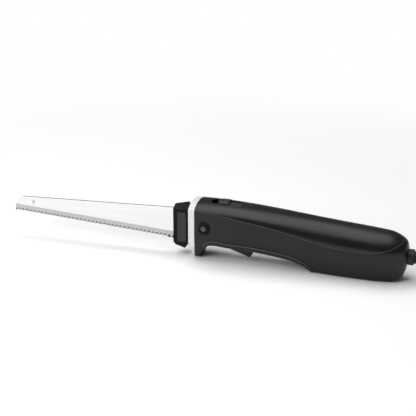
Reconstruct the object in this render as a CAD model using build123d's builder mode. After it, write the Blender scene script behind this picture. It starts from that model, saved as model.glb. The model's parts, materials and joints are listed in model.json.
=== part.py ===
"""Electric carving knife: two serrated blades that run side by side against each other.

The origin lies on the surface that the knife rests on, in the middle of its width, in the
plane where the silver band meets the handle.  +X runs to the cord, +Z up, and the left
side is -Y.  All lengths are millimetres.
"""
from build123d import *
from math import cos, hypot, pi, radians, sin, sqrt, tan
import os

os.makedirs("parts", exist_ok=True)

# General
wall = 2.4
slip = 0.3              # free space between pieces that lie side by side
fit = 0.05              # free space round what is pressed or clamped in place
play = 0.1              # free space round what turns or slides
overrun = 6.0           # how far a cutter runs past what it cuts

# Handle
handle_length = 230.0
handle_height = 65.0
handle_half_width = 25.0
seam_gap = 0.3
arch_height = 19.1
foot_soft_share = 0.12      # rounding at the foot, as a share of the flank
crease_soft_share = 0.25
crown_rise_share = 0.55
crown_flat_share = 0.55
crisp_share = 0.15
tail_share = 0.88           # from here on the wall also closes the tail

# Stations along the handle: place, heights of crown, shoulder and crease, half widths at
# the side and at the foot, height of the foot, and how crisp the shoulder is.
handle_shares = [
    (-0.0326, 0.995, 0.897, 0.277, 0.845, 0.36, 0.0, 1.0),
    (0.0, 1.0, 0.9, 0.277, 0.86, 0.36, 0.0, 1.0),
    (0.0957, 1.003, 0.88, 0.477, 0.92, 0.36, 0.0, 0.9),
    (0.2174, 0.991, 0.832, 0.531, 0.96, 0.36, 0.0, 0.6),
    (0.3696, 0.957, 0.758, 0.492, 0.98, 0.4, 0.0, 0.3),
    (0.513, 0.917, 0.655, 0.44, 0.992, 0.5, 0.0, 0.1),
    (0.6522, 0.875, 0.569, 0.394, 1.0, 0.62, 0.0, 0.0),
    (0.7739, 0.84, 0.538, 0.357, 1.0, 0.66, 0.0, 0.0),
    (0.887, 0.805, 0.523, 0.338, 0.96, 0.62, 0.0, 0.0),
    (0.9304, 0.782, 0.508, 0.338, 0.892, 0.56, 0.008, 0.0),
    (0.9609, 0.738, 0.508, 0.338, 0.772, 0.48, 0.038, 0.0),
    (0.9826, 0.692, 0.492, 0.323, 0.62, 0.36, 0.108, 0.0),
    (0.9957, 0.631, 0.462, 0.323, 0.44, 0.24, 0.215, 0.0),
    (1.0, 0.554, 0.438, 0.369, 0.34, 0.18, 0.292, 0.0),
]
# Seam between the upper and the lower housing: place and height.
seam_shares = [
    (-0.05, 0.911), (0.1304, 0.869), (0.2783, 0.805), (0.3696, 0.758), (0.5165, 0.654),
    (0.6565, 0.558), (0.7609, 0.531), (0.9043, 0.583), (0.9739, 0.689), (1.02, 0.85),
]
# Hand arch: place, and height as a share of the arch's own.
arch_shares = [
    (0.0113, 0.0), (0.0239, 0.419), (0.0391, 0.707), (0.0609, 0.937), (0.087, 1.0),
    (0.1304, 0.958), (0.2783, 0.89), (0.3913, 0.78), (0.4913, 0.565), (0.5391, 0.293),
    (0.5696, 0.0),
]
guard_block_depth = 12.0
guard_block_height = 11.0

# Raised rim above the arch
rim_height = 5.3
rim_proud = 0.85
rim_sink = 1.5             # how far its drawing dips into the space under the arch
rim_shares = [0.0, 0.7, 1.0, 1.0, 1.0, 1.0, 0.9, 0.6, 0.0]

# Silver band and nose plate
band_depth = 7.0
band_knee = 18.0            # below this height the band narrows to a point
band_tip_back = 3.7
band_tip_height = 2.0
band_tip_width = 0.8
plate_front = 5.2
plate_thick = 2.2
plate_bottom = 10.5
window_half_width = 7.3
window_low = 38.5
window_high = 53.5

# Lock slider and its slot
slot_start = 14.0
slot_end = 48.0
slot_half_width = 8.0
knob_start = 22.0
knob_length = 12.0
knob_half_width = 7.2
knob_proud = 1.6
rear_plate_end = 47.0
rear_plate_top = 63.6
lock_travel = 7.0
tray_top = 60.2
tray_thick = 1.3
tray_half_width = 9.6
tray_cover = 1.6
rail_lip = 1.4
rail_wall = 1.6
slot_front_round = 6.5
slot_rear_round = 1.5
knob_front_round = 5.7
knob_groove = 0.9
knob_groove_depth = 0.6
knob_groove_count = 4
knob_groove_pitch = 2.6

# Release buttons
button_x = 10.6
button_z = 38.5
button_radius = 3.2
button_face = 22.2
button_travel = 2.5
dish_x = 11.4
dish_z = 39.8
dish_radius = 8.4
dish_depth = 1.8
dish_pad_radius = 10.0
dish_pad_inner = 18.6
button_flange_radius = 4.4
button_flange_outer = 18.2
button_flange_thick = 1.2
button_stem_radius = 2.1
tower_radius = 6.2
tower_bore = 4.8
tower_inner = 10.6
retainer_thick = 1.0
release_wire = 0.5
release_coil_radius = 3.0
release_turns = 4

# Slide line: the blades' tangs, the arms and what guides them
slide_height = 46.0
blade_gap = 0.1             # from the middle of the knife to each blade
blade_thick = 0.9
stroke = 4.0
arm_inner = 4.2
arm_outer = 6.8
arm_front = -3.0
arm_block_end = 28.0
arm_end = 68.0
arm_half_height = 7.0
yoke_half_height = 8.3
yoke_start = 45.0
yoke_window_half_length = 7.2
yoke_window_half_height = 6.1
guide_start = 18.0
guide_end = 40.0
guide_wall = 2.0

# Blades
blade_reach = 229.6
tip_slant_back = 1.1
tip_slant_height = 34.9
tip_low_height = 27.6
tip_edge_back = 0.9
tip_edge_height = 27.0
spine_tip_x = -217.0
spine_tip_height = 45.1
spine_heel_height = 52.0
heel_x = -33.0
edge_heel_height = 15.6
edge_thick = 0.3
scallop_pitch = 4.95
scallop_depth = 1.4
scallop_start = 4.2
tang_half_height = 5.0
tang_end = 20.0
heel_end = -16.0
rivet_x = -205.3
rivet_z = 39.3
rivet_radius = 1.6
rivet_head_radius = 2.6
rivet_head_thick = 0.7
rivet_sink_radius = 2.3
rivet_sink_depth = 0.5
keyhole_entry_radius = 3.0
grind_width = 8.2
scallop_land = 0.4

# Blade hubs
hub_inner = 0.15
hub_half_width = 9.0
hub_front = -29.0
hub_rear = -12.5
hub_top = 53.5
hub_ridge_front = 57.0
hub_ridge_rear = 61.0
hub_front_foot = 14.1
hub_chamfer_x = -26.7
hub_chamfer_z = 11.3
hub_low_x = -15.4
hub_low_z = 8.2
hub_rear_foot = 13.1
hub_panel_start = -24.6
hub_panel_end = -14.2
hub_panel_low = 15.2
hub_panel_high = 50.0
hub_panel_depth = 0.9
hub_soft = 0.8

# Latch springs on the arms
latch_start = 2.6
latch_end = 13.6
latch_low = 38.8
latch_high = 46.6
latch_thick = 0.5
hook_start = 7.9
hook_length = 4.2
hook_low = 41.6
hook_height = 3.0
hook_reach = 0.2

# Drive gear and worm
gear_x = 55.0
gear_module = 1.0
gear_teeth = 20
gear_face = 6.0
gear_axle_radius = 2.0
gear_root_depth_share = 1.25
gear_root_lean_share = 0.6      # of the thread's slope, below the pitch circle
gear_backlash = 0.12
crank_offset = 4.0
crank_radius = 1.6
crank_seat = 1.4
crank_end = 7.0
worm_pitch_radius = 3.5
worm_starts = 2
worm_length = 16.0
worm_root_depth_share = 1.15
thread_angle = 20.0

# Gear frame
frame_inner = 7.6
frame_outer = 9.6
frame_start = 40.0
frame_end = 72.0
frame_top = 56.4
frame_low = 27.0
frame_web = 4.0
frame_web_top = 36.5
frame_leg = 6.0
frame_pad_top = 21.0
frame_pad_margin = 0.5
spring_lug_end = 15.6
spring_lug_start_x = 49.0
spring_lug_length = 8.0
spring_lug_low = 33.0
spring_lug_thick = 2.0
thrust_radius = 3.6
thrust_wall = 0.8
thrust_overhang = 0.8
shaft_nose_radius = 1.5
shaft_step = 64.5
frame_web_bore = 3.2
frame_corner = 3.0

# Motor
shaft_radius = 2.5
shaft_end = 178.0
core_start = 118.0
core_length = 32.0
stack_half = 18.5
stack_corner = 11.0
stack_bore = 10.4
stack_rib_half_width = 7.0
field_pocket = 15.6
shoe_thick = 1.4
pole_half_angle = 33.0
shoe_half_angle = 68.0
coil_inner = 12.2
coil_outer = 15.2
coil_start_angle = 37.0
coil_end_angle = 66.0
coil_overhang = 6.0
coil_end_thick = 5.0
core_radius = 9.8
core_slots = 10
core_slot_radius = 1.3
core_slot_place = 8.0
winding_radius = 1.1
winding_dome_radius = 8.9
winding_dome_length = 5.5
commutator_start = 159.0
commutator_length = 8.0
commutator_radius = 6.0
commutator_riser = 7.2
commutator_riser_length = 1.6
fan_start = 103.0
fan_length = 7.0
fan_radius = 16.0
fan_hub_radius = 5.0
fan_disc = 1.2
fan_blades = 9
fan_blade_thick = 1.2
fan_blade_turn = 12.0
bracket_half = 15.2
bracket_corner = 5.0
bracket_thick = 4.0
bracket_window_radius = 10.5
front_bracket_start = 94.0
rear_bracket_start = 172.0
bearing_radius = 5.0
bearing_overhang = 0.8
bolt_place = 12.7
bolt_radius = 1.4
bolt_head_radius = 2.4
bolt_head_thick = 1.8
bolt_nut_thick = 2.0

# Brushes
brush_width = 5.0
brush_length_x = 4.0
brush_end = 13.6
brush_gap = 0.15
holder_wall = 1.0
holder_start = 7.6
holder_end = 18.0
brush_spring_wire = 0.4
brush_spring_radius = 1.7
brush_spring_turns = 4
holder_arm_thick = 3.6

# Trigger
trigger_pivot_x = 28.0
trigger_pivot_z = 24.0
trigger_pin_radius = 1.2
trigger_pin_half_length = 8.6
trigger_half_width = 5.8
trigger_slot_half_width = 6.5
trigger_slot_start = 23.0
trigger_slot_end = 65.2
trigger_top_rear = (62.0, 20.5)
trigger_heel = (62.2, 9.9)
trigger_toe = (58.6, 4.2)
trigger_grip = (48.4, 8.2)
trigger_front = (35.0, 12.5)
trigger_nose = (25.2, 17.6)
trigger_nose_high = 27.0
trigger_wall = 1.6
trigger_soft = 1.6
wing_start = 50.0
wing_length = 6.0
wing_end = 14.6
wing_top = 22.0
wing_thick = 1.7
pivot_ear_start = 6.6
pivot_ear_thick = 2.0
pivot_ear_half = 3.4
pivot_ear_top = 27.4
trigger_spring_wire = 0.7
trigger_spring_radius = 2.2
trigger_spring_turns = 5
trigger_spring_y = -12.5

# Power switch
switch_start = 42.0
switch_length = 20.0
switch_inner = 9.9
switch_width = 6.1
switch_low = 27.0
switch_high = 38.4
plunger_half = 1.6
plunger_top = 32.4
plunger_travel = 4.6
terminal_width = 2.8
terminal_thick = 0.8
terminal_reach = 4.5
shelf_length = 3.6

# Screws that close the housing
screw_radius = 1.5
screw_head_radius = 2.9
screw_head_thick = 2.0
screw_boss_radius = 4.0
front_screw_x = 83.0
front_screw_y = 13.0
front_screw_head = 19.5
front_screw_top = 44.0
front_boss_split = 34.0
rear_screw_x = 197.0
rear_screw_y = 10.0
rear_screw_head = 12.0
rear_screw_top = 41.0
rear_boss_split = 30.0

# Vents in the foot
vent_start = 146.0
vent_count = 6
vent_pitch = 4.0
vent_width = 1.8
vent_half_length = 8.0

# Cord outlet
cord_radius = 3.0
outlet_height = 26.0
outlet_bore = 5.6
relief_collar_radius = 8.5
relief_collar_length = 6.0
relief_flange_radius = 7.6
relief_flange_length = 3.0
relief_root_radius = 6.8
relief_tip_radius = 4.0
relief_length = 46.0
relief_ring_count = 8
relief_groove = 1.6
relief_groove_depth = 1.3
inner_lead_start = 202.0
clamp_start = 208.0
clamp_length = 6.0
clamp_half_width = 8.5
clamp_thick = 2.6
clamp_screw_y = 5.6
clamp_screw_radius = 1.1
clamp_screw_head = 2.0

# Cord beyond the view: a coil of half turns in two layers, its tie and the plug
coil_x = 361.0
coil_y = 16.0
coil_lay = 0.6
coil_pitch = 6.6
coil_inner_reach = 27.5     # after the last half turn of the lower layer
coil_turns_in = 4           # half turns of the lower layer
coil_turns_out = 4          # half turns of the upper layer
coil_over_reach = 31.3      # where the upper layer has passed over the climbing half turn
coil_over_skew = 0.6
coil_lead = 6.0
tie_thick = 0.4
tie_width = 9.0
tie_slack = 0.2
plug_width = 24.0
plug_length = 26.0
plug_height = 14.0
plug_shoulder_share = 0.62
plug_round = 4.6
plug_entry_radius = 3.6
plug_neck_length = 12.0
plug_neck_radius = 5.0
plug_lift = 0.3
pin_spacing = 12.7
pin_width = 6.35
pin_thick = 1.5
pin_length = 17.0
pin_soft = 1.2

# Route of the cord from the strain relief to the coil, and from the coil to the plug.
# These points are chosen by hand.
cord_route = [
    (276.0, 0.0, 26.0), (288.5, 0.0, 26.0), (300.9, -2.9, 23.3), (311.5, -8.5, 18.3),
    (319.3, -16.2, 11.3), (329.9, -21.8, 6.2), (342.3, -24.7, 3.6), (355.0, -24.7, 3.6),
]
plug_route = [
    (355.0, 54.5, 10.2), (345.0, 54.5, 10.2), (334.8, 52.1, 9.5), (325.5, 47.4, 8.0),
    (315.4, 45.0, 7.3), (305.4, 45.0, 7.3),
]


def lengthwise(station):
    """Plane across the handle at a station; its drawing axes are Y and Z."""
    return Plane.YZ.offset(station)


def sidewise(y):
    """Plane parallel to the blades; its drawing axes are X and Z, its normal is -Y."""
    return Plane.XZ.offset(-y)


def block(x, y, z, mode=Mode.ADD):
    """Rectangular piece between two limits on each axis."""
    with Locations(((x[0] + x[1]) / 2, (y[0] + y[1]) / 2, (z[0] + z[1]) / 2)):
        Box(x[1] - x[0], y[1] - y[0], z[1] - z[0], mode=mode)


def bar(plane, radius, length, at=(0, 0), mode=Mode.ADD):
    """Round piece standing on a plane, centred on a point of its drawing axes."""
    with Locations(plane.location * Location((at[0], at[1], 0))):
        Cylinder(radius, length, align=(Align.CENTER, Align.CENTER, Align.MIN), mode=mode)


def slab(plane, corners, depth, mode=Mode.ADD):
    """Straight-edged piece drawn on a plane and as deep as given along its normal."""
    with BuildSketch(plane) as outline:
        with BuildLine():
            Polyline(*corners, close=True)
        make_face()
    extrude(outline.sketch, amount=depth, mode=mode)


def section_sizes(row, inset):
    """Real sizes of one station's section, drawn in from the outside by inset."""
    along, crown, shoulder, crease, side, foot, base, crisp = row
    x = along * handle_length
    if along > tail_share:
        x -= inset
    base, crease = base * handle_height, crease * handle_height
    side, foot = side * handle_half_width, foot * handle_half_width
    slope = (side - foot) / (crease - base)
    lean = sqrt(1 + slope * slope)
    foot += inset * (slope - lean)
    crease += inset * (lean - 1) / slope
    crown = crown * handle_height - inset
    return x, crown, shoulder * handle_height, crease, side - inset, foot, base + inset, crisp


def draw_section(crown, shoulder, crease, side, foot, base, crisp):
    """Half a section with soft foot and crease and a curved crown, then its mirror image."""
    across, up = side - foot, crease - base
    foot_cut = foot_soft_share * hypot(across, up)
    crease_cut = crease_soft_share * hypot(across, up)
    lean_y, lean_z = foot_soft_share * across, foot_soft_share * up
    bend_y, bend_z = crease_soft_share * across, crease_soft_share * up
    rise = crown - shoulder
    Line((0, base), (foot - foot_cut, base))
    Bezier((foot - foot_cut, base), (foot, base), (foot + lean_y, base + lean_z))
    Line((foot + lean_y, base + lean_z), (side - bend_y, crease - bend_z))
    Bezier((side - bend_y, crease - bend_z), (side, crease), (side, crease + crease_cut))
    Line((side, crease + crease_cut), (side, shoulder))
    Bezier(
        (side, shoulder),
        (side * (1 - crisp_share * crisp), shoulder + crown_rise_share * rise),
        (crown_flat_share * side, crown),
        (0, crown),
    )
    mirror(about=Plane.YZ)


def handle_form(inset):
    """The handle's whole outer form, or one drawn in from it by inset."""
    with BuildPart() as form:
        for row in handle_shares:
            x, *sizes = section_sizes(row, inset)
            with BuildSketch(lengthwise(x)):
                with BuildLine():
                    draw_section(*sizes)
                make_face()
        loft()
        block(
            (-handle_length, 2 * handle_length),
            (-handle_half_width - overrun, handle_half_width + overrun),
            (-overrun - handle_height, 0),
            mode=Mode.SUBTRACT,
        )
    return form.part


def grown(points, distance):
    """Points of an open outline moved to its left by a distance."""
    moved = []
    for index, (u, v) in enumerate(points):
        before = points[max(index - 1, 0)]
        after = points[min(index + 1, len(points) - 1)]
        run, rise = after[0] - before[0], after[1] - before[1]
        length = hypot(run, rise)
        moved.append((u - distance * rise / length, v + distance * run / length))
    return moved


arch_points = [(x * handle_length, z * arch_height) for x, z in arch_shares]
seam_points = [(x * handle_length, z * handle_height) for x, z in seam_shares]


def arch_region(grow, half_width):
    """The space under the hand arch, grown into the handle, right across the width."""
    points = grown(arch_points, grow)
    low = -overrun
    with BuildPart() as region:
        with BuildSketch(sidewise(half_width)):
            with BuildLine():
                Spline(*points)
                Line(points[-1], (points[-1][0], low))
                Line((points[-1][0], low), (points[0][0], low))
                Line((points[0][0], low), points[0])
            make_face()
        extrude(amount=2 * half_width)
    return region.part


def above_seam(shift):
    """Everything above the seam moved up by shift."""
    points = [(x, z + shift) for x, z in seam_points]
    high = handle_height + overrun
    half_width = handle_half_width + overrun
    with BuildPart() as region:
        with BuildSketch(sidewise(half_width)):
            with BuildLine():
                Spline(*points)
                Line(points[-1], (points[-1][0] + overrun, high + overrun))
                Line((points[-1][0] + overrun, high + overrun), (points[0][0], high + overrun))
                Line((points[0][0], high + overrun), points[0])
            make_face()
        extrude(amount=2 * half_width)
    return region.part


def side_prism(corners, half_width):
    """Straight-edged region drawn from the side and centred on the knife."""
    with BuildPart() as region:
        slab(sidewise(half_width), corners, 2 * half_width)
    return region.part


outer_form = handle_form(0)
inner_form = handle_form(wall)
middle_form = handle_form(wall / 2)

full_half = handle_half_width + overrun
band_tip_front = -band_tip_back - band_tip_width / 2
band_tip_rear = -band_tip_back + band_tip_width / 2
high = handle_height + overrun
band_region = side_prism(
    [(-band_depth, high), (0, high), (0, band_knee), (band_tip_rear, band_tip_height),
     (band_tip_front, band_tip_height), (-band_depth, band_knee)],
    full_half,
)
housing_region = side_prism(
    [(0, high), (0, band_knee), (band_tip_rear, band_tip_height),
     (band_tip_front, band_tip_height), (-band_tip_back, 0),
     (-band_tip_back, -overrun), (handle_length + overrun, -overrun),
     (handle_length + overrun, high)],
    full_half,
)
hollow = inner_form - arch_region(wall, full_half) - side_prism(
    [(-overrun, -overrun), (guard_block_depth, -overrun),
     (guard_block_depth, guard_block_height), (-overrun, guard_block_height)],
    full_half,
)
upper_region = above_seam(seam_gap / 2)
lower_region = housing_region - above_seam(-seam_gap / 2)

# Places that several pieces share
motor_height = slide_height - gear_module * gear_teeth / 2 - worm_pitch_radius
core_end = core_start + core_length
stack_foot = motor_height - stack_half
bracket_foot = motor_height - bracket_half
bracket_top = motor_height + bracket_half
slide_inner = arm_outer + slip
guide_low = slide_height - arm_half_height - slip
guide_high = slide_height + arm_half_height + slip
tray_start = slot_start - tray_cover
tray_end = slot_end + lock_travel + tray_cover
knob_end = knob_start + knob_length
rail_half = tray_half_width + slip
bolt_points = [
    (sign_y * bolt_place, motor_height + sign_z * bolt_place)
    for sign_y in (-1, 1) for sign_z in (-1, 1)
]
motor_section = (0, motor_height)

def motor_plane(x):
    """Plane across the motor with its drawing origin on the shaft's axis."""
    return Plane(origin=(x, 0, motor_height), x_dir=(0, 1, 0), z_dir=(1, 0, 0))


def draw_sector(inner, outer, start, size):
    """Outline of a part of a ring, from a start angle over a size, in degrees."""
    inside = CenterArc((0, 0), inner, start, size)
    outside = CenterArc((0, 0), outer, start, size)
    Line(inside @ 0, outside @ 0)
    Line(inside @ 1, outside @ 1)


def draw_half_turns(frame, reaches, levels):
    """A winding of half turns: each reach lies on the other side of the axis than the last."""
    points = [
        Vector(reach if index % 2 == 0 else -reach, 0, level)
        for index, (reach, level) in enumerate(zip(reaches, levels))
    ]
    for index, (start, end) in enumerate(zip(points, points[1:])):
        bulge = (end - start).length / 2
        top = (start + end) / 2 + Vector(0, bulge if index % 2 == 0 else -bulge, 0)
        ThreePointArc(*(frame.from_local_coords(point) for point in (start, top, end)))


def spring(frame, radius, wire, length, turns):
    """Coil spring that stands on a frame's plane, as long as given over its wire."""
    count = 2 * turns
    rise = (length - wire) / count
    levels = [wire / 2 + rise * index for index in range(count + 1)]
    with BuildPart() as coil:
        with BuildLine() as path:
            draw_half_turns(frame, [radius] * (count + 1), levels)
        wound = path.wires()[0]
        with BuildSketch(Plane(origin=wound @ 0, z_dir=wound % 0)):
            Circle(wire / 2)
        sweep(path=wound)
    return coil.part


# Upper housing
rail_low = tray_top - tray_thick - slip
with BuildPart() as upper_inside:
    bar(Plane.XY.offset(front_boss_split), screw_boss_radius, handle_height,
        at=(front_screw_x, -front_screw_y))
    bar(Plane.XY.offset(rear_boss_split), screw_boss_radius, handle_height,
        at=(rear_screw_x, -rear_screw_y))
    block((slot_start, tray_end), (-rail_half - rail_wall, -rail_half), (rail_low, handle_height))
    block((slot_start, tray_end), (-rail_half - rail_wall, -rail_half + rail_lip),
          (rail_low - rail_wall, rail_low))
    mirror(about=Plane.XZ)
    for start in (front_bracket_start, rear_bracket_start):
        block((start, start + bracket_thick / 2), (-bracket_window_radius, bracket_window_radius),
              (bracket_top + slip, handle_height))
    add(middle_form, mode=Mode.INTERSECT)

with BuildPart() as upper_housing:
    add(outer_form)
    add(hollow, mode=Mode.SUBTRACT)
    add(upper_inside.part)
    add(upper_region, mode=Mode.INTERSECT)
    add(housing_region, mode=Mode.INTERSECT)
    with BuildSketch(Plane.XY.offset(tray_top)) as slot:
        with Locations(((slot_start + slot_end) / 2, 0)):
            Rectangle(slot_end - slot_start, 2 * slot_half_width)
        fillet(slot.vertices().group_by(Axis.X)[0], radius=slot_front_round)
        fillet(slot.vertices().group_by(Axis.X)[-1], radius=slot_rear_round)
    extrude(amount=handle_height, mode=Mode.SUBTRACT)
    for x, y, split, top in (
        (front_screw_x, front_screw_y, front_boss_split, front_screw_top),
        (rear_screw_x, rear_screw_y, rear_boss_split, rear_screw_top),
    ):
        for sign in (-1, 1):
            bar(Plane.XY.offset(split), screw_radius + fit, top + slip - split,
                at=(x, sign * y), mode=Mode.SUBTRACT)
upper_housing.part.label = "upper_housing"
export_step(upper_housing.part, "parts/upper_housing.step")

# Lower housing
frame_pads = (frame_start, frame_end - frame_leg)
with BuildPart() as lower_inside:
    bar(Plane.XY, screw_boss_radius, front_boss_split - slip, at=(front_screw_x, -front_screw_y))
    bar(Plane.XY, screw_boss_radius, rear_boss_split - slip, at=(rear_screw_x, -rear_screw_y))
    bar(sidewise(-tower_inner), tower_radius, handle_half_width - tower_inner,
        at=(button_x, button_z))
    bar(sidewise(-dish_pad_inner), dish_pad_radius, handle_half_width - dish_pad_inner,
        at=(dish_x, dish_z))
    block((trigger_pivot_x - pivot_ear_half, trigger_pivot_x + pivot_ear_half),
          (-pivot_ear_start - pivot_ear_thick, -pivot_ear_start), (0, pivot_ear_top))
    for start in frame_pads:
        block((start - frame_pad_margin, start + frame_leg + frame_pad_margin),
              (-frame_outer - frame_pad_margin, -frame_inner + frame_pad_margin),
              (0, frame_pad_top))
    mirror(about=Plane.XZ)
    for start in (front_bracket_start, rear_bracket_start):
        block((start - wall / 2, start + bracket_thick + wall / 2),
              (-bracket_window_radius, bracket_window_radius), (0, bracket_foot))
    block((core_start + core_length / 2 - wall, core_start + core_length / 2 + wall),
          (-stack_rib_half_width, stack_rib_half_width), (0, stack_foot))
    block((clamp_start, clamp_start + clamp_length), (-clamp_half_width, clamp_half_width),
          (0, outlet_height + cord_radius - slip))
    for start in (switch_start, switch_start + switch_length - shelf_length):
        block((start, start + shelf_length), (frame_outer + 2 * slip, switch_inner + switch_width),
              (0, switch_low))
    add(middle_form, mode=Mode.INTERSECT)
    add(arch_region(wall / 2, full_half), mode=Mode.SUBTRACT)

rim_line = arch_points[2:]
rim_foot = grown(rim_line, -rim_sink)
rim_crest = [
    (x + (far_x - x) * share, z + (far_z - z) * share)
    for (x, z), (far_x, far_z), share in zip(rim_line, grown(rim_line, rim_height), rim_shares)
]
with BuildPart() as rim:
    with BuildSketch(sidewise(full_half)):
        with BuildLine():
            Spline(*rim_foot)
            Spline(*rim_crest)
            Line(rim_foot[0], rim_crest[0])
            Line(rim_foot[-1], rim_crest[-1])
        make_face()
    extrude(amount=2 * full_half)
    add(handle_form(-rim_proud), mode=Mode.INTERSECT)

dish_ball_radius = (dish_radius ** 2 + dish_depth ** 2) / (2 * dish_depth)
with BuildPart() as lower_housing:
    add(outer_form)
    add(rim.part)
    add(arch_region(0, full_half), mode=Mode.SUBTRACT)
    add(hollow, mode=Mode.SUBTRACT)
    add(lower_inside.part)
    add(lower_region, mode=Mode.INTERSECT)
    block((trigger_slot_start, trigger_slot_end), (-trigger_slot_half_width, trigger_slot_half_width),
          (0, frame_low), mode=Mode.SUBTRACT)
    for sign in (-1, 1):
        with Locations((dish_x, sign * (button_face + dish_ball_radius - dish_depth), dish_z)):
            Sphere(dish_ball_radius, mode=Mode.SUBTRACT)
        for inner, outer, radius in (
            (tower_inner - overrun, button_flange_outer + slip, tower_bore),
            (button_flange_outer, handle_half_width, button_radius + play),
        ):
            with Locations(Location((button_x, sign * (inner + outer) / 2, button_z), (90, 0, 0))):
                Cylinder(radius, outer - inner, mode=Mode.SUBTRACT)
        for x, y, head, split in (
            (front_screw_x, front_screw_y, front_screw_head, front_boss_split),
            (rear_screw_x, rear_screw_y, rear_screw_head, rear_boss_split),
        ):
            bar(Plane.XY, screw_head_radius + slip, head, at=(x, sign * y), mode=Mode.SUBTRACT)
            bar(Plane.XY, screw_radius + play, split, at=(x, sign * y), mode=Mode.SUBTRACT)
        bar(Plane.XY.offset(outlet_height - cord_radius), clamp_screw_radius + fit, handle_height,
            at=(clamp_start + clamp_length / 2, sign * clamp_screw_y), mode=Mode.SUBTRACT)
    bar(sidewise(trigger_pin_half_length), trigger_pin_radius + fit, 2 * trigger_pin_half_length,
        at=(trigger_pivot_x, trigger_pivot_z), mode=Mode.SUBTRACT)
    bar(lengthwise(handle_length - 2 * wall), outlet_bore, 3 * wall, at=(0, outlet_height),
        mode=Mode.SUBTRACT)
    bar(lengthwise(clamp_start - wall), cord_radius + play, clamp_length + 2 * wall,
        at=(0, outlet_height), mode=Mode.SUBTRACT)
    block((clamp_start - wall, clamp_start + clamp_length + wall),
          (-cord_radius - play, cord_radius + play),
          (outlet_height, outlet_height + 2 * cord_radius), mode=Mode.SUBTRACT)
    for index in range(vent_count):
        start = vent_start + index * vent_pitch
        block((start, start + vent_width), (-vent_half_length, vent_half_length),
              (-wall, 2 * wall), mode=Mode.SUBTRACT)
lower_housing.part.label = "lower_housing"
export_step(lower_housing.part, "parts/lower_housing.step")

# Silver band round the nose
with BuildPart() as nose_band:
    add(outer_form)
    add(inner_form, mode=Mode.SUBTRACT)
    add(band_region, mode=Mode.INTERSECT)
nose_band.part.label = "nose_band"
export_step(nose_band.part, "parts/nose_band.step")

# Plate inside the band, with the window for the blades
with BuildPart() as nose_plate:
    with BuildSketch(lengthwise(-plate_front)):
        with BuildLine():
            draw_section(*section_sizes(handle_shares[0], wall + fit)[1:])
        make_face()
        with Locations((0, (window_low + window_high) / 2)):
            Rectangle(2 * window_half_width, window_high - window_low, mode=Mode.SUBTRACT)
    extrude(amount=plate_thick)
    block((-plate_front - overrun, overrun), (-full_half, full_half), (-overrun, plate_bottom),
          mode=Mode.SUBTRACT)
nose_plate.part.label = "nose_plate"
export_step(nose_plate.part, "parts/nose_plate.step")

# Screws that close the housing from below
with BuildPart() as housing_screws:
    for x, y, head, top in (
        (front_screw_x, front_screw_y, front_screw_head, front_screw_top),
        (rear_screw_x, rear_screw_y, rear_screw_head, rear_screw_top),
    ):
        for sign in (-1, 1):
            bar(Plane.XY.offset(head - screw_head_thick), screw_head_radius, screw_head_thick,
                at=(x, sign * y))
            bar(Plane.XY.offset(head - screw_head_thick), screw_radius, top - head + screw_head_thick,
                at=(x, sign * y))
housing_screws.part.label = "housing_screws"
export_step(housing_screws.part, "parts/housing_screws.step")

# Lock slider: a tray below the roof, a crowned knob and a thin plate behind it
with BuildPart() as knob:
    block((knob_start, knob_end), (-knob_half_width, knob_half_width),
          (tray_top - tray_thick, 2 * handle_height))
    fillet(knob.edges().filter_by(Axis.Z).group_by(Axis.X)[0], radius=knob_front_round)
    for index in range(knob_groove_count):
        middle = knob_start + knob_length / 2
        start = middle + (index - (knob_groove_count - 1) / 2) * knob_groove_pitch
        block((start - knob_groove / 2, start + knob_groove / 2),
              (-knob_half_width, knob_half_width),
              (handle_height + knob_proud - knob_groove_depth, 2 * handle_height),
              mode=Mode.SUBTRACT)
    add(handle_form(-knob_proud), mode=Mode.INTERSECT)
with BuildPart() as lock_button:
    block((knob_end - slip, rear_plate_end), (-knob_half_width, knob_half_width),
          (tray_top - tray_thick, 2 * handle_height))
    add(middle_form, mode=Mode.INTERSECT)
    add(knob.part)
    block((tray_start, tray_end), (-tray_half_width, tray_half_width),
          (tray_top - tray_thick, tray_top))
lock_button.part.label = "lock_button"
export_step(lock_button.part, "parts/lock_button.step")

# Release buttons, their springs and the rings that hold the springs
button_tip = arm_outer + latch_thick + button_travel + slip
retainer_outer = tower_inner + retainer_thick
flange_inner = button_flange_outer - button_flange_thick
with BuildPart() as left_release_button:
    bar(sidewise(-flange_inner), button_radius, button_face - flange_inner,
        at=(button_x, button_z))
    fillet(left_release_button.edges().group_by(Axis.Y)[0], radius=hub_soft)
    bar(sidewise(-flange_inner), button_flange_radius, button_flange_thick,
        at=(button_x, button_z))
    bar(sidewise(-button_tip), button_stem_radius, flange_inner - button_tip,
        at=(button_x, button_z))
with BuildPart() as right_release_button:
    add(mirror(left_release_button.part, about=Plane.XZ, mode=Mode.PRIVATE))
for side, button in (("left", left_release_button), ("right", right_release_button)):
    button.part.label = f"{side}_release_button"
    export_step(button.part, f"parts/{side}_release_button.step")

with BuildPart() as button_retainers:
    bar(sidewise(-tower_inner), tower_bore - fit, retainer_thick, at=(button_x, button_z))
    bar(sidewise(-tower_inner), button_stem_radius + play, retainer_thick,
        at=(button_x, button_z), mode=Mode.SUBTRACT)
    mirror(about=Plane.XZ)
button_retainers.part.label = "button_retainers"
export_step(button_retainers.part, "parts/button_retainers.step")

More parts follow.
